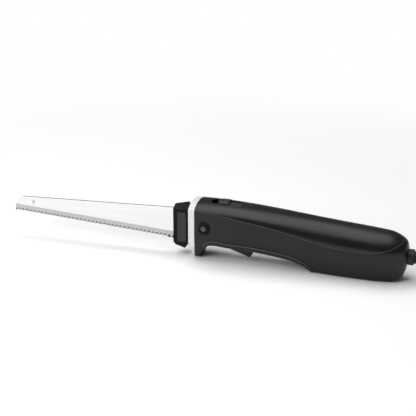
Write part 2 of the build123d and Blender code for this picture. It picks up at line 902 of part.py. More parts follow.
button_frame = Plane(origin=(button_x, -retainer_outer - fit, button_z), z_dir=(0, -1, 0))
with BuildPart() as left_release_spring:
    add(spring(button_frame, release_coil_radius, release_wire,
               flange_inner - retainer_outer - 2 * fit, release_turns))
with BuildPart() as right_release_spring:
    add(mirror(left_release_spring.part, about=Plane.XZ, mode=Mode.PRIVATE))
for side, coil in (("left", left_release_spring), ("right", right_release_spring)):
    coil.part.label = f"{side}_release_spring"
    export_step(coil.part, f"parts/{side}_release_spring.step")

# Blades
edge_tip = (-blade_reach + tip_edge_back, tip_edge_height)
edge_run = heel_x - edge_tip[0]
edge_length = hypot(edge_run, edge_heel_height - edge_tip[1])
edge_along = (edge_run / edge_length, (edge_heel_height - edge_tip[1]) / edge_length)
scallop_half = (scallop_pitch - scallop_land) / 2
scallop_radius = (scallop_half ** 2 + scallop_depth ** 2) / (2 * scallop_depth)
scallop_sink = scallop_radius - scallop_depth
scallop_count = int((edge_length - scallop_start) / scallop_pitch)
tang_low = slide_height - tang_half_height
tang_high = slide_height + tang_half_height
blade_outer = blade_gap + blade_thick
slant_point = (-blade_reach + tip_slant_back, tip_slant_height)


def scallop_centres():
    """Middle of each scallop's circle, just below the edge."""
    centres = []
    for index in range(scallop_count):
        along = scallop_start + index * scallop_pitch
        centres.append((
            edge_tip[0] + along * edge_along[0] + scallop_sink * edge_along[1],
            edge_tip[1] + along * edge_along[1] - scallop_sink * edge_along[0],
        ))
    return centres


with BuildPart() as plain_blade:
    with BuildSketch(sidewise(-blade_gap)):
        with BuildLine():
            Polyline(
                (spine_tip_x, spine_tip_height), (heel_x, spine_heel_height),
                (heel_end, spine_heel_height), (heel_end, tang_high), (tang_end, tang_high),
                (tang_end, tang_low), (heel_end, tang_low), (heel_end, edge_heel_height),
                (heel_x, edge_heel_height), edge_tip, (-blade_reach, tip_low_height), slant_point,
            )
            Bezier(
                slant_point,
                (slant_point[0] + tip_slant_back, (slant_point[1] + spine_tip_height) / 2),
                ((slant_point[0] + spine_tip_x) / 2, spine_tip_height - tip_slant_back),
                (spine_tip_x, spine_tip_height),
            )
        make_face()
        with Locations(*scallop_centres()):
            Circle(scallop_radius, mode=Mode.SUBTRACT)
    extrude(amount=blade_thick)
    # The ground face leans from the blade's full thickness to the thin edge.
    grind_plane = Plane(
        origin=(heel_x, 0, edge_heel_height),
        x_dir=(0, -1, 0),
        z_dir=(-edge_along[0], 0, -edge_along[1]),
    )
    lean = (blade_thick - edge_thick) / grind_width
    with BuildSketch(grind_plane) as ground:
        with BuildLine():
            Polyline(
                (blade_outer, grind_width), (blade_outer + overrun, grind_width),
                (blade_outer + overrun, -overrun),
                (blade_gap + edge_thick - lean * overrun, -overrun),
                close=True,
            )
        make_face()
    extrude(amount=edge_length + overrun, mode=Mode.SUBTRACT)

keyhole_half = 2 * stroke + rivet_radius + slip
with BuildPart() as left_blade:
    add(plain_blade.part)
    bar(sidewise(0), rivet_radius + fit, blade_outer, at=(rivet_x, rivet_z), mode=Mode.SUBTRACT)
    with Locations(Location((rivet_x, -blade_outer + rivet_sink_depth / 2, rivet_z), (90, 0, 0))):
        Cone(rivet_radius + fit, rivet_sink_radius + fit, rivet_sink_depth, mode=Mode.SUBTRACT)
with BuildPart() as right_blade:
    add(mirror(plain_blade.part, about=Plane.XZ, mode=Mode.PRIVATE))
    with BuildSketch(sidewise(blade_outer)):
        with Locations((rivet_x, rivet_z)):
            SlotOverall(2 * keyhole_half, 2 * (rivet_radius + slip))
        with Locations((rivet_x + keyhole_half + keyhole_entry_radius / 2, rivet_z)):
            Circle(keyhole_entry_radius)
    extrude(amount=blade_outer, mode=Mode.SUBTRACT)
for side, blade in (("left", left_blade), ("right", right_blade)):
    blade.part.label = f"{side}_blade"
    export_step(blade.part, f"parts/{side}_blade.step")

# Rivet that keeps the two blades together near the tip
with BuildPart() as blade_rivet:
    bar(sidewise(blade_outer + slip), rivet_radius, 2 * blade_outer + slip, at=(rivet_x, rivet_z))
    bar(sidewise(blade_outer + slip + rivet_head_thick), rivet_head_radius, rivet_head_thick,
        at=(rivet_x, rivet_z))
    with Locations(Location((rivet_x, -blade_outer + rivet_sink_depth / 2, rivet_z), (90, 0, 0))):
        Cone(rivet_radius, rivet_sink_radius, rivet_sink_depth)
blade_rivet.part.label = "blade_rivet"
export_step(blade_rivet.part, "parts/blade_rivet.step")

# Hubs moulded round the blades' roots
with BuildPart() as left_blade_hub:
    for x, foot, ridge in (
        (hub_front, hub_low_z, hub_ridge_front), (hub_rear, hub_low_z, hub_ridge_rear),
    ):
        with BuildSketch(lengthwise(x)):
            with BuildLine():
                Polyline(
                    (-hub_inner, foot), (-hub_half_width, foot), (-hub_half_width, hub_top),
                    (-hub_inner, ridge), close=True,
                )
            make_face()
    loft(ruled=True)
    slab(
        sidewise(0),
        [
            (hub_front, hub_front_foot), (hub_chamfer_x, hub_chamfer_z), (hub_low_x, hub_low_z),
            (hub_rear, hub_rear_foot), (hub_rear, handle_height), (hub_front, handle_height),
        ],
        hub_half_width,
        mode=Mode.INTERSECT,
    )
    fillet(left_blade_hub.faces().sort_by(Axis.Y)[0].edges(), radius=hub_soft)
    with BuildSketch(sidewise(-hub_half_width + hub_panel_depth)) as panel:
        with BuildLine():
            Polyline(
                (hub_panel_start, hub_panel_high), (hub_panel_end, hub_panel_high),
                (hub_panel_end, hub_panel_low), (hub_panel_start, hub_panel_low),
                close=True,
            )
        make_face()
        fillet(panel.vertices(), radius=hub_soft)
    extrude(amount=overrun, mode=Mode.SUBTRACT)
    block((hub_front, heel_end + fit), (-blade_outer - fit, 0),
          (edge_heel_height - fit, spine_heel_height + fit), mode=Mode.SUBTRACT)
    block((heel_end, hub_rear), (-blade_outer - fit, 0), (tang_low - fit, tang_high + fit),
          mode=Mode.SUBTRACT)
with BuildPart() as right_blade_hub:
    add(mirror(left_blade_hub.part, about=Plane.XZ, mode=Mode.PRIVATE))
for side, hub in (("left", left_blade_hub), ("right", right_blade_hub)):
    hub.part.label = f"{side}_blade_hub"
    export_step(hub.part, f"parts/{side}_blade_hub.step")

# Drive arms: a block that takes the tang and a plate whose window rides on the crank pin
with BuildPart() as left_drive_arm:
    with BuildSketch(sidewise(-arm_inner)) as side_view:
        with BuildLine():
            Polyline(
                (arm_front, slide_height - arm_half_height),
                (yoke_start - yoke_half_height + arm_half_height, slide_height - arm_half_height),
                (yoke_start, slide_height - yoke_half_height),
                (arm_end, slide_height - yoke_half_height),
                (arm_end, slide_height + yoke_half_height),
                (yoke_start, slide_height + yoke_half_height),
                (yoke_start - yoke_half_height + arm_half_height, slide_height + arm_half_height),
                (arm_front, slide_height + arm_half_height),
                close=True,
            )
        make_face()
        with Locations((gear_x, slide_height)):
            Rectangle(2 * yoke_window_half_length, 2 * yoke_window_half_height,
                      mode=Mode.SUBTRACT)
    extrude(amount=arm_outer - arm_inner)
    block((arm_front, arm_block_end), (-arm_outer, -blade_gap),
          (slide_height - arm_half_height, slide_height + arm_half_height))
    block((arm_front, tang_end + slip), (-blade_outer - 2 * fit, 0),
          (tang_low - 2 * fit, tang_high + 2 * fit), mode=Mode.SUBTRACT)
    block((hook_start - slip, hook_start + hook_length + slip), (-arm_outer, 0),
          (hook_low - slip, hook_low + hook_height + slip), mode=Mode.SUBTRACT)
with BuildPart() as left_latch_spring:
    block((latch_start, latch_end), (-arm_outer - latch_thick, -arm_outer),
          (latch_low + slip, latch_high))
    block((hook_start, hook_start + hook_length), (-arm_outer, -blade_outer - hook_reach),
          (hook_low, hook_low + hook_height))
    fillet(left_latch_spring.edges().filter_by(Axis.Y).group_by(Axis.X)[0], radius=hub_soft)
for name, piece in (("drive_arm", left_drive_arm), ("latch_spring", left_latch_spring)):
    piece.part.label = f"left_{name}"
    export_step(piece.part, f"parts/left_{name}.step")
    with BuildPart() as other_side:
        add(mirror(piece.part, about=Plane.XZ, mode=Mode.PRIVATE))
    other_side.part.label = f"right_{name}"
    export_step(other_side.part, f"parts/right_{name}.step")

# Guide that the two arms slide in
with BuildPart() as slide_guide:
    block((guide_start, guide_end), (-slide_inner - guide_wall, slide_inner + guide_wall),
          (guide_low - guide_wall, guide_high + guide_wall))
    fillet(slide_guide.edges().filter_by(Axis.X), radius=guide_wall / 2)
    block((guide_start, guide_end), (-slide_inner, slide_inner), (guide_low, guide_high),
          mode=Mode.SUBTRACT)
slide_guide.part.label = "slide_guide"
export_step(slide_guide.part, "parts/slide_guide.step")

# Frame that carries the gear, the worm's end and the guide
with BuildPart() as gear_frame:
    with BuildSketch(sidewise(frame_outer)) as cheek:
        with BuildLine():
            Polyline(
                (frame_start, frame_pad_top), (frame_start + frame_leg, frame_pad_top),
                (frame_start + frame_leg, frame_low), (frame_end - frame_leg, frame_low),
                (frame_end - frame_leg, frame_pad_top), (frame_end, frame_pad_top),
                (frame_end, frame_top), (frame_start, frame_top), close=True,
            )
        make_face()
        fillet(cheek.vertices().group_by(Axis.Z)[-1], radius=frame_corner)
    extrude(amount=2 * frame_outer)
    block((frame_start, frame_end), (-frame_inner, frame_inner), (0, handle_height),
          mode=Mode.SUBTRACT)
    for start in (frame_start, frame_end - frame_web):
        block((start, start + frame_web), (-frame_outer, frame_outer), (frame_low, frame_web_top))
    block((spring_lug_start_x, spring_lug_start_x + spring_lug_length),
          (-spring_lug_end, -frame_outer), (spring_lug_low, spring_lug_low + spring_lug_thick))
    bar(sidewise(frame_outer), gear_axle_radius + fit, 2 * frame_outer,
        at=(gear_x, slide_height), mode=Mode.SUBTRACT)
    bar(lengthwise(frame_start), thrust_radius + fit, frame_web, at=motor_section,
        mode=Mode.SUBTRACT)
    bar(lengthwise(frame_end - frame_web), frame_web_bore, frame_web, at=motor_section,
        mode=Mode.SUBTRACT)
gear_frame.part.label = "gear_frame"
export_step(gear_frame.part, "parts/gear_frame.step")

with BuildPart() as gear_axle:
    bar(sidewise(frame_outer), gear_axle_radius, 2 * frame_outer, at=(gear_x, slide_height))
gear_axle.part.label = "gear_axle"
export_step(gear_axle.part, "parts/gear_axle.step")

# Bush that takes the thrust of the shaft's front end
with BuildPart() as thrust_bush:
    bar(lengthwise(frame_start), thrust_radius, frame_web + thrust_overhang, at=motor_section)
    bar(lengthwise(frame_start + thrust_wall), shaft_nose_radius + play, frame_web + thrust_overhang,
        at=motor_section, mode=Mode.SUBTRACT)
thrust_bush.part.label = "thrust_bush"
export_step(thrust_bush.part, "parts/thrust_bush.step")

# Drive gear: a helical wheel whose teeth follow the worm's lead
gear_pitch_radius = gear_module * gear_teeth / 2
gear_tip_radius = gear_pitch_radius + gear_module
gear_root_radius = gear_pitch_radius - gear_root_depth_share * gear_module
tooth_half = pi * gear_module / 4 - gear_backlash / 2
worm_lead = worm_starts * pi * gear_module
thread_slope = tan(radians(thread_angle))


def gear_points(turn):
    """Outline of the toothed wheel, turned by an angle in radians."""
    points = []
    root_lean = gear_root_lean_share * thread_slope
    root_half = tooth_half + root_lean * (gear_pitch_radius - gear_root_radius)
    tip_half = tooth_half - thread_slope * gear_module
    for tooth in range(gear_teeth):
        middle = turn + 2 * pi * tooth / gear_teeth - pi / 2
        for radius, half in (
            (gear_root_radius, -root_half), (gear_pitch_radius, -tooth_half),
            (gear_tip_radius, -tip_half), (gear_tip_radius, tip_half),
            (gear_pitch_radius, tooth_half), (gear_root_radius, root_half),
        ):
            angle = middle + half / radius
            points.append((radius * cos(angle), radius * sin(angle)))
    return points


with BuildPart() as drive_gear:
    for y in (-gear_face / 2, 0, gear_face / 2):
        twist = y * worm_lead / (2 * pi * worm_pitch_radius) / gear_pitch_radius
        wheel_plane = Plane(origin=(gear_x, y, slide_height), x_dir=(1, 0, 0), z_dir=(0, -1, 0))
        with BuildSketch(wheel_plane):
            with BuildLine():
                Polyline(*gear_points(-twist), close=True)
            make_face()
    loft(ruled=True)
    bar(sidewise(gear_face), gear_axle_radius + play, 2 * gear_face, at=(gear_x, slide_height),
        mode=Mode.SUBTRACT)
    for start, height in (
        (-gear_face / 2 + crank_seat, slide_height + crank_offset),
        (gear_face / 2, slide_height - crank_offset),
    ):
        bar(sidewise(start), crank_radius + fit, crank_seat, at=(gear_x, height),
            mode=Mode.SUBTRACT)
drive_gear.part.label = "drive_gear"
export_step(drive_gear.part, "parts/drive_gear.step")

# Crank pins: the left one stands up at rest, the right one down
with BuildPart() as crank_pins:
    crank_start = gear_face / 2 - crank_seat + fit
    bar(sidewise(-crank_start), crank_radius, crank_end - crank_start,
        at=(gear_x, slide_height + crank_offset))
    bar(sidewise(crank_end), crank_radius, crank_end - crank_start,
        at=(gear_x, slide_height - crank_offset))
crank_pins.part.label = "crank_pins"
export_step(crank_pins.part, "parts/crank_pins.step")

# Worm with two starts
worm_tip_radius = worm_pitch_radius + gear_module
worm_root_radius = worm_pitch_radius - worm_root_depth_share * gear_module
worm_start = gear_x - worm_length / 2
thread_root_half = tooth_half + thread_slope * (worm_pitch_radius - worm_root_radius)
thread_tip_half = tooth_half - thread_slope * gear_module
thread_start = worm_start + thread_root_half
thread_length = worm_length - 2 * thread_root_half


def thread_frame(number):
    """Frame at a thread's start whose X axis points outward and whose Z axis is the worm's."""
    top_place = gear_x + worm_lead * (number + 1 / 2) / worm_starts
    angle = pi / 2 + (thread_start - top_place) * 2 * pi / worm_lead
    return Plane(
        origin=(thread_start, 0, motor_height),
        x_dir=(0, cos(angle), sin(angle)),
        z_dir=(1, 0, 0),
    )


# The gap between the threads lies under the gear's lowest tooth.
thread_paths = [
    thread_frame(number).location * Helix(worm_lead, thread_length, worm_root_radius)
    for number in range(worm_starts)
]
with BuildPart() as worm:
    bar(lengthwise(worm_start), worm_root_radius, worm_length, at=motor_section)
    for number, thread_path in enumerate(thread_paths):
        outward = thread_frame(number).x_dir
        with BuildSketch(Plane(origin=thread_path @ 0, x_dir=(1, 0, 0),
                               z_dir=Vector(1, 0, 0).cross(outward))):
            with BuildLine():
                Polyline(
                    (-thread_root_half, -slip), (thread_root_half, -slip),
                    (thread_tip_half, worm_tip_radius - worm_root_radius),
                    (-thread_tip_half, worm_tip_radius - worm_root_radius),
                    close=True,
                )
            make_face()
        sweep(path=thread_path, is_frenet=True)
    bar(lengthwise(worm_start), shaft_nose_radius + fit, worm_length, at=motor_section,
        mode=Mode.SUBTRACT)
worm.part.label = "worm"
export_step(worm.part, "parts/worm.step")

# Motor shaft with its thin nose under the worm
shaft_start = frame_start + thrust_wall + play
with BuildPart() as motor_shaft:
    bar(lengthwise(shaft_start), shaft_nose_radius, shaft_step - shaft_start, at=motor_section)
    bar(lengthwise(shaft_step), shaft_radius, shaft_end - shaft_step, at=motor_section)
motor_shaft.part.label = "motor_shaft"
export_step(motor_shaft.part, "parts/motor_shaft.step")

# Armature: slotted core, windings that fill the slots and dome over its ends, commutator
with BuildPart() as armature_core:
    with BuildSketch(motor_plane(core_start)):
        Circle(core_radius)
        Circle(shaft_radius + fit, mode=Mode.SUBTRACT)
        with PolarLocations(core_slot_place, core_slots):
            Circle(core_slot_radius, mode=Mode.SUBTRACT)
    extrude(amount=core_length)
armature_core.part.label = "armature_core"
export_step(armature_core.part, "parts/armature_core.step")

with BuildPart() as armature_windings:
    with BuildSketch(motor_plane(core_start)):
        with PolarLocations(core_slot_place, core_slots):
            Circle(winding_radius)
    extrude(amount=core_length)
    for start in (core_start - winding_dome_length, core_end):
        with BuildSketch(motor_plane(start)):
            Circle(winding_dome_radius)
            Circle(shaft_radius + play, mode=Mode.SUBTRACT)
        extrude(amount=winding_dome_length)
armature_windings.part.label = "armature_windings"
export_step(armature_windings.part, "parts/armature_windings.step")

with BuildPart() as commutator:
    bar(lengthwise(commutator_start), commutator_radius, commutator_length, at=motor_section)
    bar(lengthwise(commutator_start), commutator_riser, commutator_riser_length,
        at=motor_section)
    bar(lengthwise(commutator_start), shaft_radius + fit, commutator_length, at=motor_section,
        mode=Mode.SUBTRACT)
commutator.part.label = "commutator"
export_step(commutator.part, "parts/commutator.step")

# Cooling fan
with BuildPart() as cooling_fan:
    with BuildSketch(motor_plane(fan_start)):
        Circle(fan_radius)
    extrude(amount=fan_disc)
    with BuildSketch(motor_plane(fan_start)):
        Circle(fan_hub_radius)
        with PolarLocations((fan_radius + fan_hub_radius) / 2 - fan_blade_thick, fan_blades):
            Rectangle(fan_radius - fan_hub_radius, fan_blade_thick, rotation=fan_blade_turn)
    extrude(amount=fan_length)
    bar(lengthwise(fan_start), shaft_radius + fit, fan_length, at=motor_section,
        mode=Mode.SUBTRACT)
cooling_fan.part.label = "cooling_fan"
export_step(cooling_fan.part, "parts/cooling_fan.step")

# Field: laminated frame with two poles, and the coils round them
with BuildPart() as field_stack:
    with BuildSketch(motor_plane(core_start)):
        RectangleRounded(2 * stack_half, 2 * stack_half, stack_corner)
        Circle(field_pocket, mode=Mode.SUBTRACT)
        for middle in (0, 180):
            with BuildLine():
                draw_sector(stack_bore, field_pocket + slip, middle - pole_half_angle,
                            2 * pole_half_angle)
            make_face()
            with BuildLine():
                draw_sector(stack_bore, stack_bore + shoe_thick, middle - shoe_half_angle,
                            2 * shoe_half_angle)
            make_face()
        with Locations(*((y, z - motor_height) for y, z in bolt_points)):
            Circle(bolt_radius + play, mode=Mode.SUBTRACT)
    extrude(amount=core_length)
field_stack.part.label = "field_stack"
export_step(field_stack.part, "parts/field_stack.step")

with BuildPart() as field_coils:
    for middle in (0, 180):
        for side in (-1, 1):
            with BuildSketch(motor_plane(core_start - coil_overhang)):
                with BuildLine():
                    draw_sector(coil_inner, coil_outer, middle + side * coil_start_angle,
                                side * (coil_end_angle - coil_start_angle))
                make_face()
            extrude(amount=core_length + 2 * coil_overhang)
        for start in (core_start - coil_overhang, core_end + coil_overhang - coil_end_thick):
            with BuildSketch(motor_plane(start)):
                with BuildLine():
                    draw_sector(coil_inner, coil_outer, middle - coil_end_angle,
                                2 * coil_end_angle)
                make_face()
            extrude(amount=coil_end_thick)
field_coils.part.label = "field_coils"
export_step(field_coils.part, "parts/field_coils.step")

# Brackets at both ends of the motor, with their bearings
for name, start in (("front", front_bracket_start), ("rear", rear_bracket_start)):
    with BuildPart() as motor_bracket:
        with BuildSketch(motor_plane(start)):
            RectangleRounded(2 * bracket_half, 2 * bracket_half, bracket_corner)
            Circle(bearing_radius + fit, mode=Mode.SUBTRACT)
            for middle in (0, 90, 180, 270):
                with BuildLine():
                    draw_sector(bearing_radius + 2 * bearing_overhang, bracket_window_radius,
                                middle - pole_half_angle, 2 * pole_half_angle)
                make_face(mode=Mode.SUBTRACT)
            with Locations(*((y, z - motor_height) for y, z in bolt_points)):
                Circle(bolt_radius + play, mode=Mode.SUBTRACT)
        extrude(amount=bracket_thick)
    motor_bracket.part.label = f"{name}_motor_bracket"
    export_step(motor_bracket.part, f"parts/{name}_motor_bracket.step")
    with BuildPart() as bearing:
        with BuildSketch(motor_plane(start - bearing_overhang)):
            Circle(bearing_radius)
            Circle(shaft_radius + play, mode=Mode.SUBTRACT)
        extrude(amount=bracket_thick + 2 * bearing_overhang)
    bearing.part.label = f"{name}_bearing"
    export_step(bearing.part, f"parts/{name}_bearing.step")

# Long screws that hold the two brackets and the field together
rear_bracket_end = rear_bracket_start + bracket_thick
with BuildPart() as motor_screws:
    for place in bolt_points:
        bar(lengthwise(front_bracket_start - bolt_head_thick), bolt_radius,
            rear_bracket_end - front_bracket_start + bolt_head_thick, at=place)
        bar(lengthwise(front_bracket_start - bolt_head_thick), bolt_head_radius,
            bolt_head_thick, at=place)
        bar(lengthwise(rear_bracket_end), bolt_head_radius, bolt_nut_thick, at=place)
motor_screws.part.label = "motor_screws"
export_step(motor_screws.part, "parts/motor_screws.step")

# Brush gear on both sides of the commutator
brush_x = commutator_start + (commutator_length + commutator_riser_length) / 2
holder_half_x = brush_length_x / 2 + play + holder_wall
holder_half_z = brush_width / 2 + play + holder_wall
with BuildPart() as brush_holders:
    block((brush_x - holder_half_x, brush_x + holder_half_x), (-holder_end, -holder_start),
          (motor_height - holder_half_z, motor_height + holder_half_z))
    block((brush_x, rear_bracket_start), (-bracket_half, -bracket_half + holder_arm_thick),
          (motor_height - holder_half_z, motor_height + holder_half_z))
    block((brush_x - holder_half_x + holder_wall, brush_x + holder_half_x - holder_wall),
          (-holder_end + holder_wall, -holder_start),
          (motor_height - holder_half_z + holder_wall, motor_height + holder_half_z - holder_wall),
          mode=Mode.SUBTRACT)
    mirror(about=Plane.XZ)
brush_holders.part.label = "brush_holders"
export_step(brush_holders.part, "parts/brush_holders.step")

with BuildPart() as carbon_brushes:
    block((brush_x - brush_length_x / 2, brush_x + brush_length_x / 2), (-brush_end, 0),
          (motor_height - brush_width / 2, motor_height + brush_width / 2))
    bar(lengthwise(brush_x - brush_length_x), commutator_radius + brush_gap,
        2 * brush_length_x, at=motor_section, mode=Mode.SUBTRACT)
    mirror(about=Plane.XZ)
carbon_brushes.part.label = "carbon_brushes"
export_step(carbon_brushes.part, "parts/carbon_brushes.step")

with BuildPart() as brush_springs:
    add(spring(
        Plane(origin=(brush_x, -brush_end - fit, motor_height), z_dir=(0, -1, 0)),
        brush_spring_radius, brush_spring_wire,
        holder_end - holder_wall - brush_end - 2 * fit, brush_spring_turns,
    ))
    mirror(about=Plane.XZ)
brush_springs.part.label = "brush_springs"
export_step(brush_springs.part, "parts/brush_springs.step")

# Trigger, its pin and its spring
with BuildPart() as trigger:
    with BuildSketch(sidewise(trigger_half_width)) as grip:
        with BuildLine():
            Polyline(
                (trigger_nose[0], trigger_nose_high), (trigger_pivot_x, trigger_nose_high),
                trigger_top_rear, trigger_heel, trigger_toe,
            )
            Spline(trigger_toe, trigger_grip, trigger_front, trigger_nose)
            Line(trigger_nose, (trigger_nose[0], trigger_nose_high))
        make_face()
    extrude(amount=2 * trigger_half_width)
    fillet(trigger.edges().filter_by(Axis.Y).group_by(Axis.Z)[0], radius=trigger_soft)
    fillet(
        [edge for edge in trigger.edges().filter_by(GeomType.BSPLINE)],
        radius=trigger_soft,
    )
    # Moulded hollow above the grip
    slab(
        sidewise(trigger_half_width - trigger_wall),
        [
            (trigger_front[0], trigger_nose_high), (trigger_top_rear[0] - trigger_wall, trigger_nose_high),
            (trigger_heel[0] - trigger_wall, trigger_heel[1]),
            (trigger_toe[0] - trigger_wall, trigger_toe[1] + 2 * trigger_wall),
            (trigger_grip[0], trigger_grip[1] + 2 * trigger_wall),
            (trigger_front[0], trigger_front[1] + 2 * trigger_wall),
        ],
        2 * (trigger_half_width - trigger_wall),
        mode=Mode.SUBTRACT,
    )
    for sign in (-1, 1):
        block((wing_start, wing_start + wing_length),
              sorted((sign * (trigger_half_width - trigger_wall), sign * wing_end)),
              (wing_top - wing_thick, wing_top))
    bar(sidewise(trigger_half_width), trigger_pin_radius + play, 2 * trigger_half_width,
        at=(trigger_pivot_x, trigger_pivot_z), mode=Mode.SUBTRACT)
trigger.part.label = "trigger"
export_step(trigger.part, "parts/trigger.step")

with BuildPart() as trigger_pin:
    bar(sidewise(trigger_pin_half_length), trigger_pin_radius, 2 * trigger_pin_half_length,
        at=(trigger_pivot_x, trigger_pivot_z))
trigger_pin.part.label = "trigger_pin"
export_step(trigger_pin.part, "parts/trigger_pin.step")

with BuildPart() as trigger_spring:
    add(spring(
        Plane(origin=(wing_start + wing_length / 2, trigger_spring_y, wing_top + fit)),
        trigger_spring_radius, trigger_spring_wire, spring_lug_low - wing_top - 2 * fit,
        trigger_spring_turns,
    ))
trigger_spring.part.label = "trigger_spring"
export_step(trigger_spring.part, "parts/trigger_spring.step")

# Power switch beside the gear frame, worked by the trigger's right wing
plunger_x = wing_start + wing_length / 2
plunger_y = switch_inner + switch_width / 2
switch_end = switch_start + switch_length
with BuildPart() as power_switch:
    block((switch_start, switch_end), (switch_inner, switch_inner + switch_width),
          (switch_low, switch_high))
    for z in (switch_low + terminal_width, switch_high - terminal_width):
        block((switch_end, switch_end + terminal_reach),
              (plunger_y - terminal_thick / 2, plunger_y + terminal_thick / 2),
              (z - terminal_width / 2, z + terminal_width / 2))
    block((plunger_x - plunger_half - play, plunger_x + plunger_half + play),
          (plunger_y - plunger_half - play, plunger_y + plunger_half + play),
          (switch_low, plunger_top + plunger_travel), mode=Mode.SUBTRACT)
power_switch.part.label = "power_switch"
export_step(power_switch.part, "parts/power_switch.step")

with BuildPart() as switch_plunger:
    block((plunger_x - plunger_half, plunger_x + plunger_half),
          (plunger_y - plunger_half, plunger_y + plunger_half), (wing_top + slip, plunger_top))
switch_plunger.part.label = "switch_plunger"
export_step(switch_plunger.part, "parts/switch_plunger.step")

# Strain relief: a flange inside the tail, a collar outside and a slotted taper
collar_end = handle_length + relief_collar_length
relief_end = handle_length + relief_length
neck_start = handle_length - 1.5 * wall
with BuildPart() as strain_relief:
    with BuildSketch(Plane.XZ):
        with BuildLine():
            Polyline(
                (neck_start - relief_flange_length, 0),
                (neck_start - relief_flange_length, relief_flange_radius),
                (neck_start, relief_flange_radius), (neck_start, outlet_bore - play),
                (handle_length, outlet_bore - play), (handle_length, relief_collar_radius),
                (collar_end, relief_collar_radius), (collar_end, relief_root_radius),
                (relief_end, relief_tip_radius), (relief_end, 0), close=True,
            )
        make_face()
    revolve(axis=Axis.X)
    ring_pitch = (relief_length - relief_collar_length) / (relief_ring_count + 1)
    for index in range(relief_ring_count):
        start = collar_end + ring_pitch * (index + 0.5)
        share = (start - collar_end) / (relief_end - collar_end)
        skin = relief_root_radius + (relief_tip_radius - relief_root_radius) * share
        with BuildSketch(lengthwise(start)):
            Circle(relief_root_radius + relief_groove)
            Circle(skin - relief_groove_depth * (1 - share / 2), mode=Mode.SUBTRACT)
        extrude(amount=relief_groove, mode=Mode.SUBTRACT)
with BuildPart() as lifted_relief:
    add(strain_relief.part.moved(Location((0, 0, outlet_height))))
lifted_relief.part.label = "strain_relief"
export_step(lifted_relief.part, "parts/strain_relief.step")

# Cord inside the tail and the clamp that holds it
with BuildPart() as inner_lead:
    bar(lengthwise(inner_lead_start), cord_radius,
        neck_start - relief_flange_length - inner_lead_start, at=(0, outlet_height))
inner_lead.part.label = "inner_lead"
export_step(inner_lead.part, "parts/inner_lead.step")

clamp_low = outlet_height + cord_radius + fit
with BuildPart() as cord_clamp:
    block((clamp_start, clamp_start + clamp_length), (-clamp_half_width, clamp_half_width),
          (clamp_low, clamp_low + clamp_thick))
    for sign in (-1, 1):
        bar(Plane.XY.offset(clamp_low), clamp_screw_radius + play, clamp_thick,
            at=(clamp_start + clamp_length / 2, sign * clamp_screw_y), mode=Mode.SUBTRACT)
cord_clamp.part.label = "cord_clamp"
export_step(cord_clamp.part, "parts/cord_clamp.step")

with BuildPart() as clamp_screws:
    for sign in (-1, 1):
        place = (clamp_start + clamp_length / 2, sign * clamp_screw_y)
        bar(Plane.XY.offset(outlet_height - cord_radius + slip), clamp_screw_radius,
            cord_radius * 2 + clamp_thick, at=place)
        bar(Plane.XY.offset(clamp_low + clamp_thick), clamp_screw_head, clamp_thick / 2,
            at=place)
clamp_screws.part.label = "clamp_screws"
export_step(clamp_screws.part, "parts/clamp_screws.step")


def corner_radii(points):
    """As large an arc at each corner of a route as its two runs allow."""
    radii = []
    for before, corner, after in zip(points, points[1:], points[2:]):
        run_in, run_out = Vector(corner) - Vector(before), Vector(after) - Vector(corner)
        turn = radians(run_in.get_angle(run_out))
        radii.append(0.45 * min(run_in.length, run_out.length) / tan(turn / 2))
    return radii


def cord_tube(points):
    """Round cord along straight runs joined by tangent arcs."""
    with BuildPart() as tube:
        with BuildLine() as route:
            FilletPolyline(*points, radius=corner_radii(points))
        line = route.wires()[0]
        with BuildSketch(Plane(origin=line @ 0, z_dir=line % 0)):
            Circle(cord_radius)
        sweep(path=line)
    return tube.part, line.length


# Cord from the strain relief to the coil, and from the coil to the plug
for name, route in (("power_cord", cord_route), ("plug_lead", plug_route)):
    tube, tube_length = cord_tube(route)
    tube.label = name
    export_step(tube, f"parts/{name}.step")
    print(name, "length", round(tube_length, 1), "radii",
          [round(radius, 1) for radius in corner_radii(route)],
          "volume share", round(tube.volume / (pi * cord_radius ** 2 * tube_length), 4))

# Coil: the lower layer winds inward, one half turn climbs, the upper layer winds outward
lay_height = coil_lay + cord_radius
half_pitch = coil_pitch / 2
coil_reaches = [coil_inner_reach + half_pitch * (coil_turns_in - k) for k in range(coil_turns_in + 1)]
coil_reaches += [coil_inner_reach - half_pitch]
coil_reaches += [
    coil_over_reach + coil_pitch * (k // 2) + coil_over_skew * (k % 2) for k in range(coil_turns_out)
]
coil_levels = [lay_height] * (coil_turns_in + 1)
coil_levels += [lay_height + coil_pitch] * (coil_turns_out + 1)
coil_plane = Plane(origin=(coil_x, coil_y, 0), x_dir=(0, -1, 0), z_dir=(0, 0, 1))
with BuildPart() as cord_coil:
    with BuildLine() as coil_path:
        draw_half_turns(coil_plane, coil_reaches, coil_levels)
        first = coil_path.wires()[0]
        Line(first @ 0 - first % 0 * coil_lead, first @ 0)
        Line(first @ 1, first @ 1 + first % 1 * coil_lead)
    turns = coil_path.wires()[0]
    with BuildSketch(Plane(origin=turns @ 0, z_dir=turns % 0)):
        Circle(cord_radius)
    sweep(path=turns)
cord_coil.part.label = "cord_coil"
export_step(cord_coil.part, "parts/cord_coil.step")


def least_gap(line, diameter, step, apart):
    """Smallest free space between stretches of a tube that are not neighbours along it."""
    count = int(line.length / step)
    points = [line @ (index / count) for index in range(count + 1)]
    skip = int(apart / step)
    return min(
        (points[i] - points[j]).length
        for i in range(len(points)) for j in range(i + skip, len(points))
    ) - diameter


print("cord_coil length", round(turns.length, 1), "least gap",
      round(least_gap(turns, 2 * cord_radius, cord_radius, pi * coil_inner_reach), 2),
      "tightest radius", round(coil_inner_reach - half_pitch / 2, 1))

